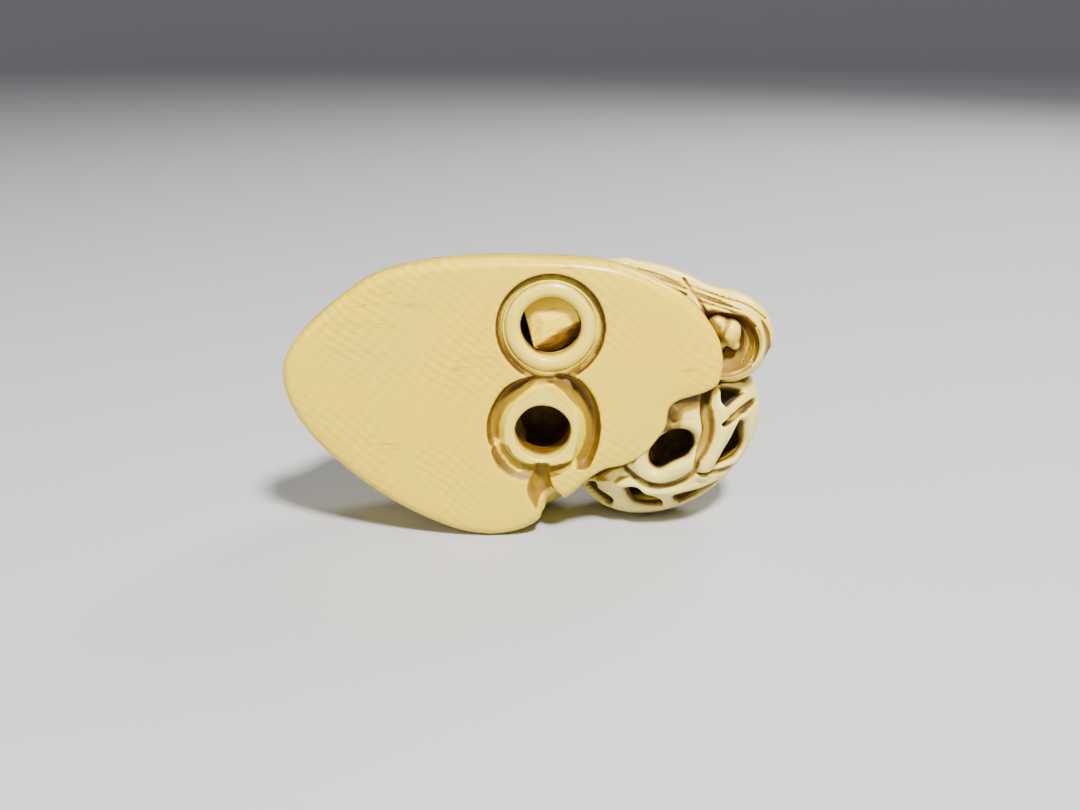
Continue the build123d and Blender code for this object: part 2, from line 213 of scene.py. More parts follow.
def groove(plan, points, width, depth, ends=(1, 1), lean=0.0, sharp=0.6):
    # carves a channel along a line: ends scale it along the way, and lean deepens its left side
    line = curve(points)
    window, px, pz = planWindow(line, width)
    gap, left, along = lineDistance(px, pz, line)
    share = np.interp(along, np.linspace(0, 1, len(ends)), ends)
    half = np.maximum(share * width / 2, 1e-3)
    t = np.clip(gap / half, 0, 1)
    side = np.clip(left / half, -1, 1)
    cut = depth * (1 - t * t) ** sharp * (1 + lean * side) / (1 + 0.4 * abs(lean))
    plan[window] = np.maximum(plan[window], cut * np.clip(share * 1.5, 0, 1))


def soften(plan, passes=2):
    # takes the hard edges off a plan
    for _ in range(passes):
        for axis in (0, 1):
            plan = (np.roll(plan, 1, axis) + 2 * plan + np.roll(plan, -1, axis)) / 4
    return plan


def lookUp(plan, x, z):
    # a plan's value at any places
    fx = np.clip((x - planX[0]) / planStep, 0, len(planX) - 1.001)
    fz = np.clip((z - planZ[0]) / planStep, 0, len(planZ) - 1.001)
    ix, iz = fx.astype(int), fz.astype(int)
    tx, tz = fx - ix, fz - iz
    top = plan[ix, iz] * (1 - tx) + plan[ix + 1, iz] * tx
    low = plan[ix, iz + 1] * (1 - tx) + plan[ix + 1, iz + 1] * tx
    return top * (1 - tz) + low * tz


def onGrid(plan, x, z):
    # the same over a whole grid, looked up once and used at every depth
    return lookUp(plan, x[:, 0, :], z[:, 0, :])[:, None, :]


def onCarving(x, y, z):
    # where a place falls on the front carving's plan
    t = (faceY + carveDepth - carvePoint[1]) / (y - carvePoint[1])
    return carvePoint[0] + (x - carvePoint[0]) * t, carvePoint[2] + (z - carvePoint[2]) * t


pieces = {}


def facesOut(mesh, points):
    # true when the faces wind outwards, from the sign of the enclosed volume
    corners = np.empty(len(mesh.loops), int)
    mesh.loops.foreach_get("vertex_index", corners)
    a, b, c, d = (points[corners[k::4]] for k in range(4))
    return (np.einsum("ij,ij->i", a, np.cross(b, c)) + np.einsum("ij,ij->i", a, np.cross(c, d))).sum() > 0


def sculpt(name, low, high, step, shape):
    # meshes the shape where its field is zero
    step = step * coarse
    axes = [np.arange(a, b + step, step, dtype=np.float32) for a, b in zip(low, high)]
    x, y, z = np.meshgrid(*axes, indexing="ij")
    field = shape(x, y, z).astype(np.float32)
    for axis in range(3):
        edge = [slice(None)] * 3
        for end in (0, -1):
            edge[axis] = end
            field[tuple(edge)] = np.maximum(field[tuple(edge)], step)
    volume = openvdb.FloatGrid(3 * step)
    volume.copyFromArray(np.clip(field, -3 * step, 3 * step))
    points, quads = volume.convertToQuads(0.0)
    points = np.array(points) * step + np.array(low)
    mesh = bpy.data.meshes.new(name)
    mesh.from_pydata((points * 0.001).tolist(), [], quads.tolist())
    if not facesOut(mesh, points):
        mesh.flip_normals()
    mesh.update()
    mesh.shade_smooth()
    piece = bpy.data.objects.new(name, mesh)
    bpy.context.scene.collection.objects.link(piece)
    pieces[name] = {"object": piece, "field": field, "low": np.array(low), "step": step, "points": points}
    print(name, "sculpted with", len(quads), "faces")


# base plate: each groove is its points, width, depth, how it widens along the way, lean and sharpness
upper = {"centre": (1.7, 20.3), "hole": 2.75, "rim": 4.15, "crown": 3.4, "depth": 2.05}
lower = {"centre": (1.0, 10.4), "hole": 2.6, "rim": 3.35, "peak": 4.3, "peakRound": 0.5, "depth": 3.75}
base = {
    "thickness": 3.2, "frontRound": 0.85, "backRound": 0.35, "rollWidth": 2.6, "rollDepth": 0.22,
    "stubHole": 3.0,
    "pegPlaces": [(-13.85, 15.1), (-7.05, 6.36), (5.75, 16.43)],
    "pegHole": 0.95, "pegHoleFromTo": (1.2, 7.0),
    "ring": {"shallow": 0.47, "depth": 0.85, "deepensFrom": 4.12, "wallFrom": 4.6, "wallWidth": 0.33},
    "outline": [(1.5, 3.3), (1.1, 2.1), (-0.3, 0.85), (-3.2, 0.08), (-6.8, 0.5), (-10.5, 2.0), (-14.1, 4.2),
                (-17.7, 7.15), (-20.7, 10.4), (-22.3, 13.5), (-22.62, 15.9), (-22.2, 17.6), (-20.6, 19.8),
                (-17.8, 22.3), (-14.2, 24.75), (-10.0, 25.95), (-5.0, 26.45), (1.6, 26.45), (6.0, 26.1),
                (9.6, 25.1), (13.1, 23.25), (15.2, 21.5), (16.8, 19.2), (17.3, 17.2), (17.0, 15.2),
                (16.0, 14.3), (14.6, 13.8), (13.3, 13.35), (12.5, 12.5), (12.3, 11.0), (11.6, 9.8),
                (10.4, 8.3), (8.6, 7.2), (6.8, 6.75), (5.2, 5.75), (4.1, 4.5), (3.0, 3.65), (2.35, 3.9)],
    "grooves": [
        # right and left of the lower collar, under it, and the channel to the notch
        ([(2.4, 15.5), (3.8, 14.7), (4.75, 13.4), (5.2, 11.9), (5.25, 10.3), (4.95, 8.8), (4.6, 7.75)],
         2.1, 1.5, (0.6, 0.95, 1, 1, 1, 1, 0.95), 0.6, 0.75),
        ([(0.9, 15.3), (-0.5, 15.05), (-1.9, 14.1), (-2.9, 12.5), (-3.3, 11.0), (-3.25, 9.75)],
         1.75, 1.4, (0.5, 0.8, 1, 1, 1, 0.9), -0.5, 0.75),
        ([(-2.9, 8.6), (-2.3, 7.6), (-0.95, 6.75), (0.8, 6.5), (2.5, 6.8), (3.85, 7.5)],
         1.75, 1.15, (1, 1, 0.95, 0.8, 0.6, 0.35), 0.5, 0.6),
        ([(0.85, 6.9), (0.8, 5.9), (0.95, 4.9), (1.35, 4.0), (1.9, 3.0), (2.2, 2.4)],
         2.2, 1.5, (0.8, 0.85, 0.95, 1.05, 1.2, 1.3), 0.15, 0.6),
        # faint lines beside them
        ([(-3.6, 8.6), (-2.9, 7.3), (-1.3, 6.15), (-0.1, 5.9)], 1.0, 0.16, (0.4, 1, 1, 0.5), 0.0, 1.0),
        ([(-0.1, 5.9), (-0.1, 4.7), (0.5, 3.4), (1.2, 2.4)], 1.1, 0.2, (0.5, 1, 1, 1), 0.0, 1.0),
    ],
}
ux, uz = upper["centre"]
lx, lz = lower["centre"]


def ringGroove():
    # round the upper collar, deepest at its outer wall, which is drawn out towards the lower hole
    ring = base["ring"]
    fromUpper = np.hypot(acrossX - ux, acrossZ - uz)
    pointed = fromUpper - 0.25 * np.clip((uz - acrossZ) / np.maximum(fromUpper, 1), 0, 1) ** 8
    deepens = np.clip((pointed - ring["deepensFrom"]) / 0.5, 0, 1)
    wall = np.clip(1 - (np.maximum(pointed - ring["wallFrom"], 0) / ring["wallWidth"]) ** 2, 0, 1)
    depth = ring["shallow"] + (ring["depth"] - ring["shallow"]) * deepens
    return depth * np.sqrt(wall) * (fromUpper > upper["rim"] - 0.25)


facePlan = np.maximum(newPlan(), ringGroove())
for cut in base["grooves"]:
    groove(facePlan, *cut)
outlinePlan = outlineDistance(acrossX, acrossZ, curve(base["outline"], closed=True, perSpan=5))
roll = np.clip(1 + outlinePlan / base["rollWidth"], 0, 1) ** 2.2  # the face falls slightly to its edge
facePlan = np.maximum(facePlan, base["rollDepth"] * roll)
slopeX, slopeZ = np.gradient(facePlan, planStep)
faceSlope = 1 / np.sqrt(1 + slopeX ** 2 + slopeZ ** 2)


def dropDistance(x, z):
    # the lower collar's drop-shaped outline
    dx, dz = np.abs(x - lx), z - lz
    tall = lower["peak"] - lower["peakRound"]
    sine = (lower["rim"] - lower["peakRound"]) / tall
    cosine = math.sqrt(1 - sine * sine)
    alongSide = -dx * sine + dz * cosine
    flank = dx * cosine + dz * sine - lower["rim"]
    low = np.hypot(dx, dz) - lower["rim"]
    high = np.hypot(dx, dz - tall) - lower["peakRound"]
    return np.where(alongSide < 0, low, np.where(alongSide > tall * cosine, high, flank))


def pegHoles(x, y, z):
    start, end = base["pegHoleFromTo"]
    holes = np.minimum.reduce([np.hypot(x - px, z - pz) for px, pz in base["pegPlaces"]]) - base["pegHole"]
    return np.maximum(holes, np.maximum(faceY + start - y, y - faceY - end))


def baseShape(x, y, z):
    depth, slope, side = (onGrid(plan, x, z) for plan in (facePlan, faceSlope, outlinePlan))
    side = side + 0.05 * softNoise(x, y, z, 2.3, 4)
    front = (faceY + depth - y) * slope
    nearPod = smoothStep(2.5, 0.8, podOuter(x, np.maximum(y, -6.0), z))
    shape = roundMax(front, side, base["frontRound"] - 0.5 * nearPod)
    shape = roundMax(shape, y - faceY - base["thickness"], base["backRound"])
    fromUpper = np.hypot(x - ux, z - uz)
    collarSeat = np.where(y < faceY + upper["depth"], fromUpper - upper["rim"] + 0.03, 9)
    return cutAway(shape, collarSeat, fromUpper - base["stubHole"], dropDistance(x, z) + 0.03,
                   podOuter(x, y, z) - seatGap, hoodOuter(x, y, z) - seatGap, pegHoles(x, y, z))


# collars round the two cord holes
def upperCollarShape(x, y, z):
    r = np.hypot(x - ux, z - uz)
    wide = np.clip(r - upper["crown"], 0, upper["rim"] - upper["crown"])
    face = faceY + 0.1 + 0.7 * wide ** 2 + 0.35 * np.maximum(upper["crown"] - r, 0) ** 2
    wobble = 0.04 * softNoise(x, y, z, 1.8, 7)
    shape = roundMax((face - y) / np.sqrt(1 + (1.4 * wide) ** 2), upper["hole"] + wobble - r, 0.45)
    shape = np.maximum(shape, r - upper["rim"] - 0.2)
    return np.maximum(shape, y - faceY - upper["depth"])


def lowerCollarShape(x, y, z):
    drop = dropDistance(x, z)
    r = np.hypot(x - lx, z - lz)
    wobble = 0.04 * softNoise(x, y, z, 1.6, 8)
    joined = smoothStep(-0.5, 0, drop)  # its rim follows the carved face
    face = faceY + 0.08 * (1 - joined) + (onGrid(facePlan, x, z) + 0.04) * joined
    shape = roundMax(face - y, lower["hole"] + wobble - r, 0.3)
    shape = np.maximum(shape, drop - 0.25)
    return np.maximum(shape, y - faceY - lower["depth"])


# whittled stub left in the upper hole
stub = {"front": 1.1, "end": 9.4, "inCollar": 2.68, "inBack": 2.9, "leftCut": -2.2}


def stubScrapes(x, y, z):
    return softNoise(x * 0.6 + z * 0.5, y, z * 2.2 - x * 0.8, 0.6, 22)


def stubShape(x, y, z):
    u, w = x - ux, z - uz
    chips = 0.09 * softNoise(x * 3.0, y, z * 0.5, 1.1, 21)
    top = 0.5 * (w - 0.55 - 0.22 * u)
    left = 0.42 * (-0.55 - u)
    right = 0.1 * (u - 0.2) - 0.04 * w
    steep = 1.15 * (-(w + 0.75) * 0.86 + (u + 0.1) * 0.52 - 0.3)
    front = softMax(softMax(top, left + chips, 0.15), softMax(right, steep + chips, 0.3), 0.15)
    front = faceY + stub["front"] + front + 0.05 * stubScrapes(x, y, z)
    radius = np.where(y < faceY + 2.1, stub["inCollar"], stub["inBack"])
    shape = roundMax(front - y, np.hypot(u, w) - radius, 0.08)
    shape = roundMax(shape, stub["leftCut"] + 0.27 * (0.4 - w) - u, 0.12)
    return np.maximum(shape, y - faceY - stub["end"])


# openwork pod: cuts and raised bands are its points, width, depth, widening, lean and sharpness
pod = {
    "centre": (13.05, -0.95, 8.08), "halves": (9.8, 7.0, 7.0), "slant": 36, "wall": 1.35,
    "windows": [
        [(10.7, 7.3), (11.2, 8.7), (12.65, 9.95), (14.25, 10.25), (15.35, 9.65), (15.6, 8.45), (14.8, 7.3),
         (13.15, 6.5), (11.85, 5.85), (11.0, 6.25)],
        [(17.4, 14.35), (18.7, 14.5), (19.7, 13.95), (19.0, 13.1), (18.05, 12.3), (17.35, 12.8)],
        [(19.5, 11.05), (20.25, 10.95), (20.35, 9.05), (19.65, 7.5), (18.6, 6.7), (17.3, 6.25), (17.95, 7.8),
         (18.75, 9.35)],
        [(4.55, 4.45), (5.75, 4.75), (6.15, 4.05), (7.5, 3.05), (7.2, 2.3), (5.5, 2.75)],
        [(8.4, 3.85), (9.05, 4.35), (10.0, 4.25), (11.0, 3.45), (12.3, 2.75), (11.95, 2.0), (9.5, 2.2)],
        [(13.25, 3.05), (14.2, 3.75), (15.85, 4.15), (17.9, 4.95), (16.4, 3.45), (14.05, 2.5)],
    ],
    "cuts": [
        ([(17.75, 10.55), (18.85, 11.25), (20.0, 12.4), (20.6, 13.0)], 0.8, 0.7, (0.5, 1, 1, 0.6)),
        ([(15.9, 13.9), (16.3, 11.5), (16.5, 10.05), (16.15, 8.3), (15.6, 6.9), (15.4, 6.3)],
         1.5, 0.7, (1, 1, 1.05, 1, 0.8, 0.4), 0.2, 0.7),
        ([(8.6, 6.4), (8.85, 6.05), (9.7, 5.25), (11.15, 4.55), (12.85, 4.45), (14.4, 5.05), (15.35, 5.95),
          (15.65, 6.9)], 0.75, 0.55, (0.6, 1, 1, 1, 1, 1, 1, 0.7), -0.3),
        ([(12.0, 11.4), (12.6, 12.2), (13.7, 12.9), (15.2, 13.5), (16.4, 14.0)],
         1.7, 0.25, (0.4, 1, 1, 1, 1), 0.5),
        ([(15.6, 5.6), (16.6, 5.75), (18.2, 6.05), (19.6, 6.9)], 0.55, 0.45, (0.6, 1, 0.8, 0.3)),
        ([(12.6, 11.7), (12.9, 11.0), (13.6, 10.9)], 0.9, 0.4, (1, 1, 0.3)),
        ([(7.6, 4.6), (8.2, 5.1), (9.0, 5.3)], 0.6, 0.35, (0.5, 1, 0.5)),
        ([(4.2, 4.9), (5.6, 5.4), (7.0, 6.3), (8.6, 6.7)], 0.9, 0.45, (0.7, 1, 1, 0.7), 0.4),
    ],
    "raised": [
        ([(17.1, 13.75), (17.65, 12.0), (17.8, 10.55), (17.35, 8.55), (16.5, 6.9), (16.1, 5.65)],
         1.3, 0.45, (0.8, 0.9, 1, 0.9, 1, 1), 0.0, 0.8),
        ([(6.1, 5.05), (7.55, 4.85), (9.05, 4.5), (10.7, 3.95), (12.55, 3.85), (14.9, 4.3), (17.25, 5.1)],
         0.7, 0.3, (0.5, 1, 1, 1, 1, 0.9, 0.4), 0.0, 0.9),
        ([(12.8, 11.3), (14.4, 11.5), (15.6, 11.1), (16.1, 10.0)], 1.1, 0.3, (0.4, 1, 1, 0.4), 0.0, 0.8),
    ],
    "strapLines": (-0.42, -0.1, 0.22, 0.5),  # across the band beside the large window
    "tipLines": ((0.0, 0.0), (0.42, 0.12), (0.8, 0.3)),  # above the top window, each across and down
    # far-side openings: place along the pod, angle round it, half length and half width
    "backWindows": ((5.85, 135, 2.1, 1.3), (-0.85, 152, 2.0, 1.0), (-5.2, 121, 1.7, 1.1),
                    (6.6, 84, 1.5, 1.1)),
    "ribs": 10, "ribHeight": 0.42,
}


def podOuter(x, y, z):
    return ellipsoid(x, y, z, pod["centre"], pod["halves"], slant=pod["slant"])


podCuts, podRaise, podWindows = newPlan(), newPlan(), newPlan(9)
for corners in pod["windows"]:
    line = curve(corners, closed=True, perSpan=5)
    window, px, pz = planWindow(line, 2.5)
    podWindows[window] = np.minimum(podWindows[window], outlineDistance(px, pz, line))
for cut in pod["cuts"]:
    groove(podCuts, *cut)
for shift in pod["strapLines"]:
    groove(podCuts, [(15.9 + shift, 13.6), (16.35 + shift, 11.5), (16.5 + shift, 10.0), (16.15 + shift, 8.3),
                     (15.6 + shift * 0.6, 7.0)], 0.16, 0.95, (0.5, 1, 1, 1, 0.5), sharp=1.0)
for across, drop in pod["tipLines"]:
    groove(podCuts, [(17.3, 15.2 - drop), (18.3 + across * 0.4, 14.95 - drop), (19.3 + across, 14.3 - drop),
                     (20.2 + across * 0.6, 13.4 - drop)], 0.2, 0.14, (0.7, 1, 1, 0.5))
for band in pod["raised"]:
    groove(podRaise, *band)

# a rim round the large window, and a swelling up to the plate's edge
eyeLine = curve(pod["windows"][0], closed=True, perSpan=5)
window, px, pz = planWindow(eyeLine, 3.0)
rim = 0.3 * np.clip(1 - ((outlineDistance(px, pz, eyeLine) - 0.65) / 0.75) ** 2, 0, 1)
podRaise[window] = np.maximum(podRaise[window], rim)
swell = smoothStep(2.6, 0.2, np.maximum(outlinePlan, 0)) * smoothStep(10.3, 12.0, acrossZ)
swell = swell * smoothStep(16.2, 14.8, acrossX) * smoothStep(10.5, 12, acrossX)
podCuts = soften(podCuts - podRaise * smoothStep(0.3, 0.05, podCuts) - 1.5 * swell, 5)


def podBack(x, y, z):
    # openings through the far side, and the ribs that swirl round it
    along, over = turned(x - pod["centre"][0], z - pod["centre"][2], pod["slant"])
    turn = np.degrees(np.arctan2(y - pod["centre"][1], over))
    openings = [np.hypot((along - place) / length, np.radians(turn - angle) * 6.3 / width) - 1
                for place, angle, length, width in pod["backWindows"]]
    gap = np.minimum.reduce(openings)
    swirl = 0.5 + 0.5 * np.cos(np.radians(turn) * pod["ribs"] + along * 0.45 + 0.4 * np.sin(along))
    ribs = pod["ribHeight"] * swirl ** 3 * smoothStep(9.2, 6, np.abs(along))
    return gap * 1.1, ribs * smoothStep(0.05, 0.5, gap)


def podFront(x, y, z):
    # the front carving's plan, carried straight in towards the pod's centre, and how far it faces the front
    fromCentre = [v - c for v, c in zip((x, y, z), pod["centre"])]
    long, deep, wide = pod["halves"]
    along, over = turned(fromCentre[0], fromCentre[2], pod["slant"])
    along, side, over = along / long, fromCentre[1] / deep, over / wide
    out = np.maximum(np.sqrt(along ** 2 + side ** 2 + over ** 2), 0.05)
    skin = [c + d / out for c, d in zip(pod["centre"], fromCentre)]
    nx, nz = turned(along / long / out, over / wide / out, -pod["slant"])
    normal = (nx, side / deep / out, nz)
    toPoint = [c - s for c, s in zip(carvePoint, skin)]
    facing = sum(n * t for n, t in zip(normal, toPoint))
    facing = facing / np.sqrt(sum(n ** 2 for n in normal) * sum(t ** 2 for t in toPoint))
    return *onCarving(*skin), facing


def podShape(x, y, z):
    u, v, facing = podFront(x, y, z)
    front = smoothStep(-0.12, 0.1, facing)
    outer = podOuter(x, y, z)
    backWindows, ribs = podBack(x, y, z)
    relief = lookUp(podCuts, u, v) * front + ribs * (1 - front) + 0.05 * softNoise(x, y, z, 1.5, 31)
    openings = np.where(facing > 0.02, lookUp(podWindows, u, v), 9)
    openings = np.minimum(openings, np.where(facing < -0.1, backWindows, 9))
    shape = roundMax(outer + relief, -openings, 0.35)
    return roundMax(shape, -(outer + pod["wall"] + 0.25 * softNoise(x, y, z, 2.5, 32)), 0.3)


# folded leaf: a hood, a rolled tail and a round root, with lines cut as on the pod
leaf = {
    "hoodCentre": (17.7, -2.35, 18.1), "hoodHalves": (4.95, 4.95, 4.4),
    "tailCentre": (11.95, -2.25, 22.0), "tailHalves": (6.8, 2.7, 2.7), "tailSlant": -18,
    "rootCentre": (11.75, 0.35, 18.0), "rootRadius": 5.2,
    "tip": [(6.9, -3.4, 24.75), (8.6, -3.2, 24.85), (10.6, -3.0, 24.2)], "tipRadii": [0.85, 0.75, 0.6],
    "hollowCentre": (17.2, -6.1, 18.25), "hollowHalves": (3.6, 2.35, 3.0), "hollowSlant": -12,
    "lines": [
        ([(16.1, 20.75), (17.5, 21.0), (18.7, 20.75), (19.7, 20.1), (20.35, 19.0), (20.55, 17.8),
          (20.2, 16.5)], 0.5, 0.4, (0.6, 1, 1, 1, 1, 1, 0.5), 0.4),
        ([(20.6, 20.9), (21.35, 19.5), (21.55, 17.9), (21.2, 16.3)], 0.7, 0.3, (0.3, 1, 1, 0.8), -0.3),
        ([(13.6, 24.4), (14.4, 23.4), (15.1, 22.4), (15.8, 21.0), (16.6, 19.9), (17.2, 18.5)], 0.28, 0.3),
        ([(14.4, 23.1), (16.0, 22.5), (17.6, 21.95), (19.0, 21.45)], 0.35, 0.3, (0.6, 1, 1, 0.4)),
        ([(15.2, 22.3), (16.6, 21.9), (18.0, 21.4), (19.3, 20.9), (20.3, 20.0)], 0.3, 0.24),
        ([(7.0, 25.3), (9.0, 25.0), (11.5, 24.4), (13.8, 23.5)], 0.4, 0.32),
        ([(9.5, 25.25), (12.0, 24.5), (14.5, 23.2), (17.0, 22.3)], 0.3, 0.24),
        ([(12.6, 24.2), (14.6, 23.6), (17.0, 22.75), (19.4, 22.0), (21.2, 20.7)], 0.28, 0.2),
        ([(10.2, 24.6), (12.2, 23.6), (13.7, 22.9)], 0.5, 0.3),
    ],
    "innerFolds": 5, "foldSpacing": 0.36,  # inside the hollow
    "hoodPleats": 14, "rootPleats": 13,  # over the back
}
leafCuts, foldCuts = newPlan(), newPlan()
for cut in leaf["lines"]:
    groove(leafCuts, *cut)
for n in range(leaf["innerFolds"]):
    out = leaf["foldSpacing"] * n
    groove(foldCuts, [(18.0 + 0.2 * out, 20.6 + 0.3 * out), (19.0 + out * 0.6, 20.2 + out * 0.35),
                      (19.7 + out * 0.75, 19.2), (19.85 + out * 0.75, 18.0), (19.3 + out * 0.7, 16.6)],
           0.26, 0.2, (0.4, 1, 1, 1, 0.5))


def hoodOuter(x, y, z):
    return ellipsoid(x, y, z, leaf["hoodCentre"], leaf["hoodHalves"])


def leafOuter(x, y, z):
    tail = ellipsoid(x, y, z, leaf["tailCentre"], leaf["tailHalves"], slant=leaf["tailSlant"])
    root = np.sqrt(sum((v - c) ** 2 for v, c in zip((x, y, z), leaf["rootCentre"]))) - leaf["rootRadius"]
    return softMin(softMin(hoodOuter(x, y, z), tail, 1.2), root, 1.0)


def leafHollow(x, y, z):
    return ellipsoid(x, y, z, leaf["hollowCentre"], leaf["hollowHalves"], slant=leaf["hollowSlant"])


def leafPleats(x, y, z):
    # gathered folds over the back of the hood and the root
    hoodTurn = np.arctan2(z - 18.1, x - 16.0) + 0.05 * y
    rootTurn = np.arctan2(z - 16.4, x - 10.6) + 0.12 * y
    fromRoot = np.hypot(z - 16.4, x - 10.6)
    onHood = smoothStep(14.5, 16.2, x)
    onHoodPleats = 0.16 * (1 + np.cos(hoodTurn * leaf["hoodPleats"]))
    onRootPleats = 0.32 * (0.5 + 0.5 * np.cos(rootTurn * leaf["rootPleats"])) ** 2.5
    return onHoodPleats * onHood + onRootPleats * smoothStep(0.4, 1.6, fromRoot) * (1 - onHood)


def leafShape(x, y, z):
    u, v = onCarving(x, y, z)
    body = softMin(leafOuter(x, y, z), tube(x, y, z, leaf["tip"], leaf["tipRadii"]), 0.5)
    body = body + lookUp(leafCuts, u, v) * smoothStep(0.5, -2.0, y) + 0.05 * softNoise(x, y, z, 1.7, 41)
    body = body + leafPleats(x, y, z) * smoothStep(-1, 1.5, y)
    hollow = leafHollow(x, y, z)
    folds = lookUp(foldCuts, u, v) * smoothStep(-2.6, -3.6, y) * smoothStep(1.2, 0, np.abs(hollow))
    shape = roundMax(body, -(hollow - folds), 0.55)
    half = base["thickness"] / 2
    plate = np.maximum(lookUp(outlinePlan, x, z), np.abs(y - faceY - half) - half) - seatGap
    return cutAway(shape, podOuter(x, y, z) - seatGap, budOuter(x, y, z) - seatGap, plate)


# bud in the leaf's hollow
bud = {"centre": (16.8, -3.33, 18.42), "halves": (1.6, 1.6, 1.9),
       "petal": [(17.0, -4.7, 20.0), (18.0, -5.0, 19.2), (18.7, -4.9, 17.9)], "petalRadii": [0.8, 1.15, 0.45]}


def budOuter(x, y, z):
    return ellipsoid(x, y, z, bud["centre"], bud["halves"])


def fromBudCrease(x, z):
    return np.abs(x - 17.0 - 0.45 * (z - 18.4))


def budShape(x, y, z):
    body = softMin(budOuter(x, y, z), tube(x, y, z, bud["petal"], bud["petalRadii"]), 0.8)
    crease = 0.09 * smoothStep(0.4, 0, fromBudCrease(x, z)) * smoothStep(-3.4, -4.4, y)
    return body + crease + 0.04 * softNoise(x, y, z, 1.1, 42)


# carved back, with the cord tunnel behind the base
back = {
    "centre": (-3.6, -1.72, 12.63), "halves": (17.0, 9.5, 13.0), "lean": 20, "top": 26.25,
    "midrib": 0.45, "vein": 0.38, "veinSpacing": 4.3, "hair": 0.1, "hairSpacing": 0.86,
    "cup": 0.42, "rim": 0.22,
    "tunnelRadius": (2.75, 3.0), "tunnelDepth": 8.4, "stubSeat": 2.9, "stubSeatDepth": 9.45,
}


def backOuter(x, y, z):
    return ellipsoid(x, y, z, back["centre"], back["halves"], lean=back["lean"])


def onDome(y):
    # 1 over the far side of the dome, fading out towards its sides
    return smoothStep(1.0, 4.4, y)


def backRelief(x, z):
    # a leaf: midrib, side veins with shallow cupped panels between them, hair lines and a rolled rim
    dx, dz = x - back["centre"][0], z - back["centre"][2]
    fromRib = np.abs(dz - 0.9 * np.sin(dx * 0.16))
    slanting = dx * 0.94 - fromRib * 0.62
    cell = slanting / back["veinSpacing"] - np.round(slanting / back["veinSpacing"])
    fine = slanting / back["hairSpacing"] - np.round(slanting / back["hairSpacing"])
    midrib = back["midrib"] * smoothStep(1.1, 0, fromRib)
    vein = back["vein"] * smoothStep(0.13, 0, np.abs(cell)) * smoothStep(0.2, 1.4, fromRib)
    hair = -back["hair"] * smoothStep(0.25, 0, np.abs(fine))
    cup = -back["cup"] * (1 - (2 * cell) ** 2) * smoothStep(0.2, 2.5, fromRib)
    reach = np.sqrt((dx / back["halves"][0]) ** 2 + (dz / back["halves"][2]) ** 2)
    rim = back["rim"] * smoothStep(0.14, 0, np.abs(reach - 0.88))
    return midrib * smoothStep(0.94, 0.76, reach) + (vein + hair + cup) * smoothStep(0.88, 0.78, reach) + rim


def backShape(x, y, z):
    core = backOuter(x, y, z)
    shape = core + (0.35 - backRelief(x, z)) * onDome(y) + 0.06 * softNoise(x, y, z, 2.2, 51)
    shape = np.maximum(shape, faceY + base["thickness"] + backGap - y)
    top = (z - back["top"] + 0.2 * (y - faceY)) * 0.98
    shape = roundMax(shape, top, 0.6)
    side = lookUp(outlinePlan, x, z) + 0.35 - 0.55 * (y + 5)  # widens away from the plate
    shape = roundMax(shape, side, 0.4)
    tunnelZ = np.clip(z, lz, uz)
    share = (tunnelZ - lz) / (uz - lz)
    narrow, wide = back["tunnelRadius"]
    tunnel = np.hypot(x - lx - (ux - lx) * share, z - tunnelZ) - narrow - (wide - narrow) * share
    tunnel = roundMax(tunnel, y - faceY - back["tunnelDepth"], 1.2)
    stubSeat = np.maximum(np.hypot(x - ux, z - uz) - back["stubSeat"], y - faceY - back["stubSeatDepth"])
    drilled = np.maximum(np.minimum(tunnel, stubSeat), core + 0.9)
    neighbours = np.minimum(podOuter(x, y, z), leafOuter(x, y, z)) - backGap
    return cutAway(shape, neighbours, drilled, pegHoles(x, y, z))


# each piece: lowest corner, highest corner and cell size
sculpt("basePlate", (-23.1, faceY - 0.5, -0.5), (17.9, faceY + 3.7, 27), 0.15, baseShape)
sculpt("upperCollar", (ux - 4.4, faceY - 0.3, uz - 4.4), (ux + 4.4, faceY + 2.3, uz + 4.4), 0.085,
       upperCollarShape)
sculpt("lowerCollar", (lx - 3.6, faceY - 0.3, lz - 3.6), (lx + 3.6, faceY + 4.0, lz + 4.6), 0.085,
       lowerCollarShape)
sculpt("whittledStub", (ux - 3.1, faceY + 0.7, uz - 3.1), (ux + 3.1, faceY + 9.7, uz + 3.1), 0.1, stubShape)
sculpt("openworkPod", (2.9, -8.6, -0.35), (23.2, 6.5, 16.6), 0.145, podShape)
sculpt("foldedLeaf", (4.6, -8.6, 12.3), (23.1, 6.0, 26.9), 0.13, leafShape)
sculpt("leafBud", (14.9, -6.2, 16.2), (19.2, -1.4, 20.9), 0.09, budShape)
sculpt("carvedBack", (-21.5, -5.6, -0.4), (14.2, 8.6, 26.6), 0.18, backShape)


def fieldAt(entry, points):
    # one piece's distance field at any points, and far away outside its grid
    field = entry["field"]
    spot = (points - entry["low"]) / entry["step"]
    last = np.array(field.shape) - 1.001
    inside = np.all((spot >= 0) & (spot <= last), axis=1)
    spot = np.clip(spot, 0, last - 0.001)
    low = spot.astype(int)
    t = spot - low
    total = np.zeros(len(points))
    for corner in np.ndindex(2, 2, 2):
        weight = np.prod(np.abs(1 - np.array(corner) - t), axis=1)
        total += weight * field[tuple((low + corner).T)]
    return np.where(inside, total, 9)


def crowding(points, normals, reach):
    # how near any piece comes to each point, looking straight out from it
    probe = points + normals * reach
    nearest = np.minimum.reduce([fieldAt(other, probe) for other in pieces.values()])
    return np.clip(1 - nearest / reach, 0, 1)


def setMask(piece, name, values):
    layer = piece.data.attributes.new(name, "FLOAT", "POINT")
    layer.data.foreach_set("value", np.clip(values, 0, 1).astype(np.float32))


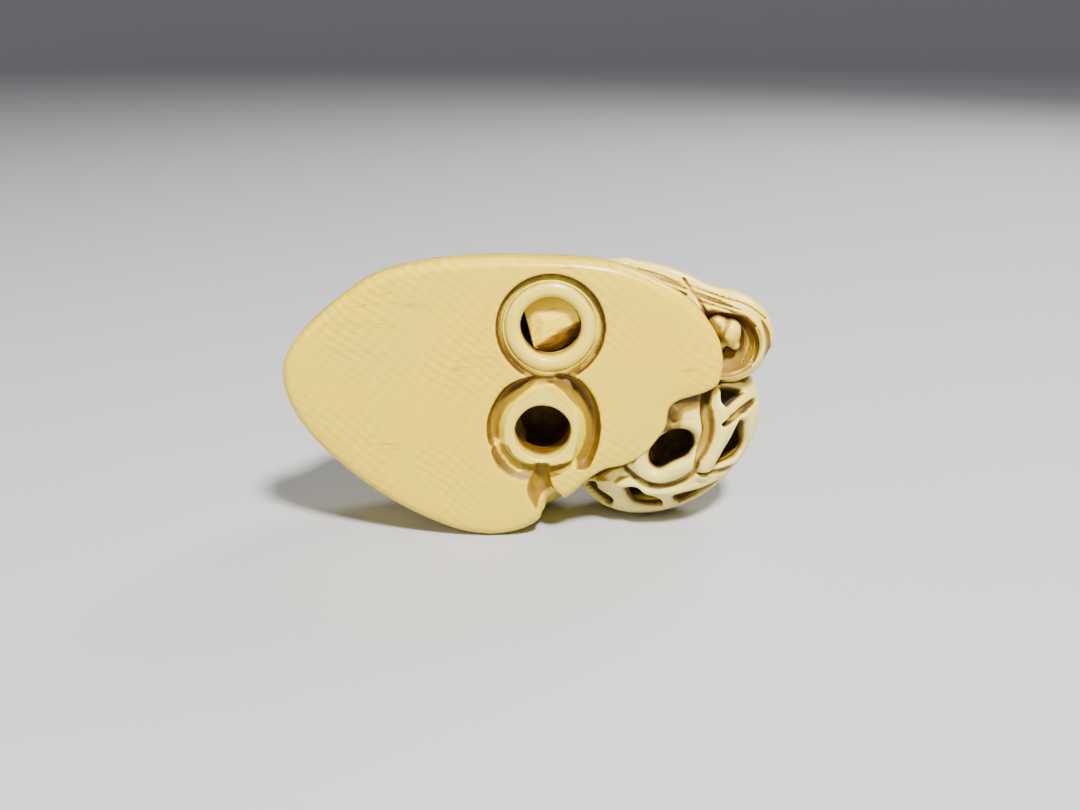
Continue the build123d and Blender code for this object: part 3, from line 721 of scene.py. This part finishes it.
for entry in pieces.values():
    piece, points = entry["object"], entry["points"]
    normals = np.empty(len(piece.data.vertices) * 3, np.float32)
    piece.data.vertex_normals.foreach_get("vector", normals)
    normals = normals.reshape(-1, 3)
    near = 0.5 * crowding(points, normals, 0.35) + 0.5 * crowding(points, normals, 0.8)
    deep = 0.5 * crowding(points, normals, 1.6) + 0.5 * crowding(points, normals, 3.2)
    setMask(piece, "cavity", near)
    setMask(piece, "hollow", deep)
    setMask(piece, "edgeWear", 1 + fieldAt(entry, points - normals * 0.45) / 0.45)
print("cavity and wear masks done")


# brown staining, deepest in the carved lines, and painted shade: deeper into holes, the tunnel and hollows,
# on walls behind the face, under edges and across the grooves
def baseStainAndShade(x, y, z):
    carved = smoothStep(0.03, 0.2, lookUp(facePlan, x, z)) * (y < faceY + 2.0)
    carved = carved * (lookUp(outlinePlan, x, z) < -0.9)
    toUpper, toLower = np.hypot(x - ux, z - uz), np.hypot(x - lx, z - lz)
    # painted shade across the grooves: darkest at the outer walls of the ring groove and troughs, and next to
    # the collar beneath it
    under = (z < lz - 0.8) & (toLower < 4.6) & (x < 4.2)
    sides = np.where(under, smoothStep(4.3, 3.5, toLower), smoothStep(3.3, 5.0, toLower) ** 1.4)
    beside = np.where((toLower < 5.7) & (z > 6.4), sides, 0.75)
    shadow = np.where(toUpper < 5.05, smoothStep(4.0, 4.75, toUpper), beside)
    # brown staining in the carved lines, plus painted shade on walls more than 1.2 mm behind the face
    return carved * (0.22 + 0.72 * shadow) + 0.35 * smoothStep(faceY + 1.2, faceY + 2.8, y)


def upperCollarStainAndShade(x, y, z):
    r = np.hypot(x - ux, z - uz)
    # brown staining on the slope into the ring groove, and painted shade deeper into the hole
    return 0.4 * smoothStep(3.6, 4.3, r) + 0.5 * smoothStep(faceY + 0.9, faceY + 2.0, y)


def lowerCollarStainAndShade(x, y, z):
    # brown staining at the rim, and strong painted shade deeper into the hole
    return 0.35 * smoothStep(-0.2, 0.1, dropDistance(x, z)) + 1.2 * smoothStep(faceY + 0.8, faceY + 2.6, y)


def stubStainAndShade(x, y, z):
    u, w = x - ux, z - uz
    # painted shade on the steep lower-right facet and, less, on the left flat; brown staining in the scrapes
    steep = smoothStep(0.0, 0.35, -(w + 0.75) * 0.86 + (u + 0.1) * 0.52 - 0.2)
    left = smoothStep(0.0, 0.3, -0.55 - u) * smoothStep(0.9, 0.4, w)
    return 0.85 * steep + 0.22 * left + 0.3 * smoothStep(0.15, 0.7, stubScrapes(x, y, z))


def podStainAndShade(x, y, z):
    u, v, facing = podFront(x, y, z)
    # painted shade on surfaces set back inside the pod's skin: its inside and its window walls
    innerShade = smoothStep(-0.45, -1.0, podOuter(x, y, z))
    # painted shade under the plate's edge
    shadeUnderEdge = smoothStep(1.9, 0.3, lookUp(outlinePlan, x, z)) * (x > 11.5) * (z > 10.3) * (z < 14.6)
    front = smoothStep(0.04, 0.42, lookUp(podCuts, u, v)) + 1.3 * shadeUnderEdge
    behind = 0.7 * smoothStep(0.1, 0.35, podBack(x, y, z)[1])
    return (front * (facing > 0) + behind * (facing < 0)) * (1 - innerShade) + 1.5 * innerShade


def leafStainAndShade(x, y, z):
    u, v = onCarving(x, y, z)
    lines = 0.6 * smoothStep(0.08, 0.3, lookUp(leafCuts, u, v)) * (y < 0)
    pleats = 0.55 * smoothStep(0.12, 0.3, leafPleats(x, y, z)) * smoothStep(-1, 1.5, y)
    folds = 0.5 * smoothStep(0.04, 0.2, lookUp(foldCuts, u, v))
    # darker near the hollow's upper-left edge
    rim = 0.5 * smoothStep(2.6, 0.6, np.hypot(x - 16.6, z - 20.4))
    # painted shade, more of it low in the hollow
    low = 0.4 * smoothStep(17.2, 16.0, z)
    # brown staining in the cut lines, pleats and folds, and a base of painted shade over the hollow
    return lines + pleats + smoothStep(0.9, -0.2, leafHollow(x, y, z)) * (0.34 + rim + folds + low)


def budStainAndShade(x, y, z):
    # painted shade, darker low down and further back
    low = 0.7 * smoothStep(17.6, 16.8, z) + 0.6 * smoothStep(-3.9, -2.9, y)
    # a light overall tint and brown staining along the crease
    return 0.12 + 0.3 * smoothStep(0.5, 0.1, fromBudCrease(x, z)) + low


def backStainAndShade(x, y, z):
    # painted shade deep in the cord tunnel; brown staining in the relief's recesses
    shadeInTunnel = (np.hypot(x - 1.3, (z - 15.4) * 0.42) < 3.6) & (y < faceY + 8.8) & (backOuter(x, y, z) < -0.8)
    recess = smoothStep(0.0, -0.45, backRelief(x, z)) * onDome(y)
    return 0.1 + 0.45 * recess + 1.6 * shadeInTunnel


# shader helpers: an input is a value or another node's output
def addNode(tree, kind, inputs, **settings):
    node = tree.nodes.new("ShaderNode" + kind)
    for name, value in settings.items():
        setattr(node, name, value)
    for place, value in inputs.items():
        if isinstance(value, bpy.types.NodeSocket):
            tree.links.new(value, node.inputs[place])
        else:
            node.inputs[place].default_value = value
    return node


def mathNode(tree, operation, a, b=0.5):
    return addNode(tree, "Math", {0: a, 1: b}, operation=operation).outputs[0]


def rampNode(tree, source, low, high, toLow=0.0, toHigh=1.0):
    span = {"Value": source, "From Min": low, "From Max": high, "To Min": toLow, "To Max": toHigh}
    return addNode(tree, "MapRange", span, interpolation_type="SMOOTHSTEP").outputs[0]


def mixColour(tree, share, a, b, blend="MIX"):
    a, b = ((*colour, 1) if isinstance(colour, tuple) else colour for colour in (a, b))
    return addNode(tree, "Mix", {0: share, 6: a, 7: b}, data_type="RGBA", blend_type=blend).outputs[2]


def noiseNode(tree, place, scale, detail=3.0, roughness=0.5):
    look = {"Vector": place, "Scale": scale, "Detail": detail, "Roughness": roughness}
    return addNode(tree, "TexNoise", look).outputs[0]


def newGroup(name, inputs, outputs):
    tree = bpy.data.node_groups.new(name, "ShaderNodeTree")
    for title, kind in inputs:
        tree.interface.new_socket(title, in_out="INPUT", socket_type=kind)
    for title in outputs:
        tree.interface.new_socket(title, in_out="OUTPUT", socket_type="NodeSocketFloat")
    return tree, tree.nodes.new("NodeGroupInput").outputs, tree.nodes.new("NodeGroupOutput").inputs


def grainGroup():
    # crossing curved lines of tusk grain, seen on the cut face
    tree, given, result = newGroup("tuskGrain", [("Place", "NodeSocketVector")], ["Grain"])
    bands = []
    for turn, scale, share in ((52, 410, 0.65), (-38, 280, 0.35)):
        way = {"Vector": given["Place"], "Rotation": (0, math.radians(turn), 0)}
        mapping = addNode(tree, "Mapping", way)
        wave = addNode(tree, "TexWave", {"Vector": mapping.outputs[0], "Scale": scale, "Distortion": 9.0,
                                         "Detail": 2.0, "Detail Scale": 0.3})
        bands.append(mathNode(tree, "MULTIPLY", wave.outputs["Fac"], share))
    patch = rampNode(tree, noiseNode(tree, given["Place"], 110, 2), 0.38, 0.66, 0.1, 1)
    centred = mathNode(tree, "SUBTRACT", mathNode(tree, "ADD", *bands), 0.5)
    faded = mathNode(tree, "MULTIPLY", centred, patch)
    tree.links.new(mathNode(tree, "ADD", faded, 0.5), result["Grain"])
    return tree


def surfaceGroup():
    # fine pits, hair scratches and slow unevenness of a handled surface, as height and roughness masks
    tree, given, result = newGroup(
        "handledSurface", [("Place", "NodeSocketVector")], ["Height", "Rough", "Crack"])
    place = given["Place"]
    slow = mathNode(tree, "MULTIPLY", noiseNode(tree, place, 260, 2), 0.5)
    fine = mathNode(tree, "MULTIPLY", noiseNode(tree, place, 2600, 3), 0.06)
    cells = addNode(tree, "TexVoronoi", {"Vector": place, "Scale": 900})
    few = rampNode(tree, noiseNode(tree, place, 330, 1), 0.55, 0.68)
    pit = mathNode(tree, "MULTIPLY", rampNode(tree, cells.outputs["Distance"], 0.0, 0.09, 1, 0), few)
    stretched = addNode(tree, "Mapping", {"Vector": place, "Rotation": (0, math.radians(-24), 0),
                                          "Scale": (0.05, 1, 1)})
    streak = mathNode(tree, "SUBTRACT", noiseNode(tree, stretched.outputs[0], 900, 1), 0.5)
    scratch = rampNode(tree, mathNode(tree, "ABSOLUTE", streak), 0.0, 0.012, 1, 0)
    here = rampNode(tree, noiseNode(tree, place, 120, 2), 0.52, 0.62)
    scratch = mathNode(tree, "MULTIPLY", scratch, here)
    height = mathNode(tree, "ADD", slow, fine)
    height = mathNode(tree, "SUBTRACT", height, mathNode(tree, "MULTIPLY", pit, 0.4))
    height = mathNode(tree, "SUBTRACT", height, mathNode(tree, "MULTIPLY", scratch, 0.25))
    for title, value in (("Height", height), ("Rough", noiseNode(tree, place, 700, 3)), ("Crack", scratch)):
        tree.links.new(value, result[title])
    return tree


def stainAndShadeGroup():
    # streaky mask that breaks up the brown staining and painted shade
    tree, given, result = newGroup(
        "stainAndShadeBreak", [("Place", "NodeSocketVector"), ("Amount", "NodeSocketFloat")], ["Light", "Dark"])
    streak = mathNode(tree, "MULTIPLY", noiseNode(tree, given["Place"], 1500, 3, 0.6), 0.35)
    blotch = mathNode(tree, "MULTIPLY", noiseNode(tree, given["Place"], 420, 3, 0.6), 0.5)
    broken = mathNode(tree, "SUBTRACT", mathNode(tree, "ADD", streak, blotch), 0.425)
    spread = mathNode(tree, "ADD", given["Amount"], broken)
    gate = rampNode(tree, given["Amount"], 0.02, 0.3)
    for title, low, high in (("Light", 0.06, 0.55), ("Dark", 0.6, 1.15)):
        tree.links.new(mathNode(tree, "MULTIPLY", rampNode(tree, spread, low, high), gate), result[title])
    return tree


grain, surface, stainAndShadeBreak = grainGroup(), surfaceGroup(), stainAndShadeGroup()


def ivory(name, pale, amber, dark, grainShare, cavityShare, hollowShare, roughness, bump):
    material = bpy.data.materials.new(name)
    material.use_nodes = True
    tree = material.node_tree
    tree.nodes.clear()
    place = addNode(tree, "TexCoord", {}).outputs["Object"]

    def mask(title, low, high):
        return rampNode(tree, addNode(tree, "Attribute", {}, attribute_name=title).outputs["Fac"], low, high)

    wear = mask("edgeWear", 0.12, 0.6)
    # the piece's mask of brown staining and painted shade
    stainAndShade = addNode(tree, "Attribute", {}, attribute_name="stainAndShade").outputs["Fac"]
    cavity = mathNode(tree, "MULTIPLY", mask("cavity", 0.12, 0.75), cavityShare * 0.55)
    hollow = mathNode(tree, "MULTIPLY", mask("hollow", 0.35, 0.95), hollowShare * 0.4)
    amount = mathNode(tree, "ADD", mathNode(tree, "ADD", cavity, hollow), stainAndShade)
    amount = mathNode(tree, "SUBTRACT", amount, mathNode(tree, "MULTIPLY", wear, 0.55))
    amount = mathNode(tree, "MAXIMUM", amount, 0.0)
    grainMask = addNode(tree, "Group", {}, node_tree=grain)
    handled = addNode(tree, "Group", {}, node_tree=surface)
    stainAndShadeMix = addNode(tree, "Group", {}, node_tree=stainAndShadeBreak)
    for node in (grainMask, handled, stainAndShadeMix):
        tree.links.new(place, node.inputs["Place"])
    tree.links.new(amount, stainAndShadeMix.inputs["Amount"])
    light, heavy = stainAndShadeMix.outputs["Light"], stainAndShadeMix.outputs["Dark"]

    # pale ivory in slow patches, with darker grain, brighter worn edges, brown cracks, and brown staining
    # mixed with painted shade
    warm = (pale[0] * 1.03, pale[1] * 0.97, pale[2])
    cool = (pale[0] * 0.95, pale[1] * 0.98, pale[2] + 0.02)
    bright = tuple(min(part * gain, 0.93) for part, gain in zip(pale, (1.07, 1.13, 1.35)))
    colour = mixColour(tree, rampNode(tree, noiseNode(tree, place, 70, 2), 0.3, 0.7), warm, cool)
    shade = rampNode(tree, grainMask.outputs["Grain"], 0.2, 0.8, 1 - grainShare, 1.0)
    powers = {n: mathNode(tree, "POWER", shade, power) for n, power in enumerate((0.55, 0.85, 1.5))}
    colour = mixColour(tree, 1.0, colour, addNode(tree, "CombineColor", powers).outputs[0], "MULTIPLY")
    colour = mixColour(tree, mathNode(tree, "MULTIPLY", wear, 0.55), colour, bright)
    colour = mixColour(tree, mathNode(tree, "MULTIPLY", handled.outputs["Crack"], 0.5), colour, amber)
    colour = mixColour(tree, light, colour, amber)
    colour = mixColour(tree, heavy, colour, dark)

    rough = rampNode(tree, handled.outputs["Rough"], 0.3, 0.7, roughness - 0.05, roughness + 0.07)
    rough = mathNode(tree, "ADD", rough, mathNode(tree, "MULTIPLY", light, 0.25))
    height = handled.outputs["Height"]
    relief = addNode(tree, "Bump", {"Strength": bump, "Distance": 0.0002, "Height": height})
    shader = addNode(tree, "BsdfPrincipled", {
        "Base Color": colour, "Roughness": rough, "Normal": relief.outputs[0], "IOR": 1.45,
        "Subsurface Weight": 0.2, "Subsurface Radius": (1.0, 0.6, 0.3), "Subsurface Scale": 0.0004,
        "Coat Weight": 0.04, "Coat Roughness": 0.15})
    addNode(tree, "OutputMaterial", {"Surface": shader.outputs[0]})
    return material


# each finish: pale, amber and dark colours, the last two also used for painted shade, shares of grain, cavity
# and hollow staining, roughness and bump
amber, dark = (0.30, 0.175, 0.0), (0.09, 0.036, 0.0)
finishes = {
    "polished_ivory": ivory("polishedIvory", (0.86, 0.66, 0.012), amber, dark, 0.2, 0.3, 0.15, 0.30, 0.10),
    "carved_ivory": ivory("carvedIvory", (0.88, 0.72, 0.09), amber, dark, 0.05, 1.5, 0.8, 0.32, 0.16),
    # the pod's near-black dark is mostly painted shade inside it and round its windows
    "openwork_ivory": ivory("openworkIvory", (0.86, 0.74, 0.17), (0.36, 0.22, 0.0), (0.07, 0.035, 0.0),
                            0.04, 1.0, 1.1, 0.32, 0.16),
    "collar_ivory": ivory("collarIvory", (0.84, 0.68, 0.06), amber, dark, 0.04, 0.7, 0.7, 0.3, 0.12),
    # the stub's ivory is orange-yellow from fresh whittling, and made brighter than the others as painted
    # light, to look lit inside the hole
    "fresh_ivory": ivory("freshIvoryPaintedLit", (1.0, 0.76, 0.02), (0.62, 0.34, 0.0), (0.13, 0.06, 0.018),
                         0.12, 0.25, 0.2, 0.42, 0.5),
    "peg_ivory": ivory("pegIvory", (0.78, 0.58, 0.22), amber, dark, 0.05, 0.5, 0.5, 0.4, 0.15),
}
print("materials done")

# what each piece stands for, its finish, and its mask of brown staining and painted shade
standsFor = {
    "basePlate": ("base_plate", "polished_ivory", baseStainAndShade),
    "upperCollar": ("upper_cord_collar", "collar_ivory", upperCollarStainAndShade),
    "lowerCollar": ("lower_cord_collar", "collar_ivory", lowerCollarStainAndShade),
    "whittledStub": ("whittled_stub", "fresh_ivory", stubStainAndShade),
    "openworkPod": ("openwork_pod", "openwork_ivory", podStainAndShade),
    "foldedLeaf": ("folded_leaf", "carved_ivory", leafStainAndShade),
    "leafBud": ("leaf_bud", "carved_ivory", budStainAndShade),
    "carvedBack": ("carved_back", "carved_ivory", backStainAndShade),
}
for name, (node, finish, stainAndShade) in standsFor.items():
    piece = pieces[name]["object"]
    setMask(piece, "stainAndShade", stainAndShade(*pieces[name]["points"].T))
    piece.data.materials.append(finishes[finish])
    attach(piece, "root")
    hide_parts(node)
for node in ("plate_pegs", "pod_peg", "leaf_peg"):
    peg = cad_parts[node]
    peg.data.materials.clear()
    peg.data.materials.append(finishes["peg_ivory"])
print("pieces finished")

# floor: a flat disc whose edge sweeps up all round
floorLook = {"radius": 0.4, "sweepCentre": 0.9, "sweepRadius": 0.6, "steps": 16, "around": 96,
             "colour": (0.46, 0.475, 0.52, 1), "roughness": 0.85}
rings = [(floorLook["radius"], 0.0)]
for t in np.linspace(0, 1.3, floorLook["steps"]):
    rise = floorLook["sweepRadius"]
    rings.append((floorLook["sweepCentre"] + rise * math.sin(t), rise - rise * math.cos(t)))
around = floorLook["around"]
turns = np.linspace(0, 2 * math.pi, around + 1)[:-1]
corners = [(r * math.cos(t), r * math.sin(t), z) for r, z in rings for t in turns]
sides = []
for low in range(0, around * (len(rings) - 1), around):
    for n in range(around):
        after = (n + 1) % around
        sides.append((low + n, low + around + n, low + around + after, low + after))
floorMesh = bpy.data.meshes.new("floor")
floorMesh.from_pydata(corners, [], [tuple(range(around))] + sides)
floorMesh.shade_smooth()
floor = bpy.data.objects.new("floor", floorMesh)
bpy.context.scene.collection.objects.link(floor)
paint = bpy.data.materials.new("paleFloor")
paint.use_nodes = True
paint.node_tree.nodes["Principled BSDF"].inputs["Base Color"].default_value = floorLook["colour"]
paint.node_tree.nodes["Principled BSDF"].inputs["Roughness"].default_value = floorLook["roughness"]
floorMesh.materials.append(paint)

# soft room light and three lamps, each with its place, size and power
world = bpy.data.worlds.new("softRoom")
bpy.context.scene.world = world
world.use_nodes = True
world.node_tree.nodes["Background"].inputs[0].default_value = (0.85, 0.88, 0.93, 1)
world.node_tree.nodes["Background"].inputs[1].default_value = 0.16
lamps = {
    "keyLight": ((0.09, -0.24, 0.36), 0.07, 5.9),
    "fillLight": ((-0.40, -0.28, 0.20), 0.30, 0.9),
    "rimLight": ((0.22, 0.30, 0.30), 0.18, 1.6),
}


def aimAt(thing, spot, target):
    bpy.context.scene.collection.objects.link(thing)
    thing.location = spot
    thing.rotation_euler = (Vector(target) - Vector(spot)).to_track_quat("-Z", "Y").to_euler()


for name, (spot, size, power) in lamps.items():
    light = bpy.data.lights.new(name, "AREA")
    light.shape, light.size, light.energy, light.color = "DISK", size, power, (1.0, 0.95, 0.85)
    aimAt(bpy.data.objects.new(name, light), spot, (0.0, 0.0, 0.012))

camera = bpy.data.objects.new("camera", bpy.data.cameras.new("camera"))
aimAt(camera, (0.00075, -0.11572, 0.04807), (0.00075, -0.00825, 0.01315))
camera.data.lens = 41.5
camera.data.clip_start = 0.005
bpy.context.scene.camera = camera
print("floor, lamps and camera done")
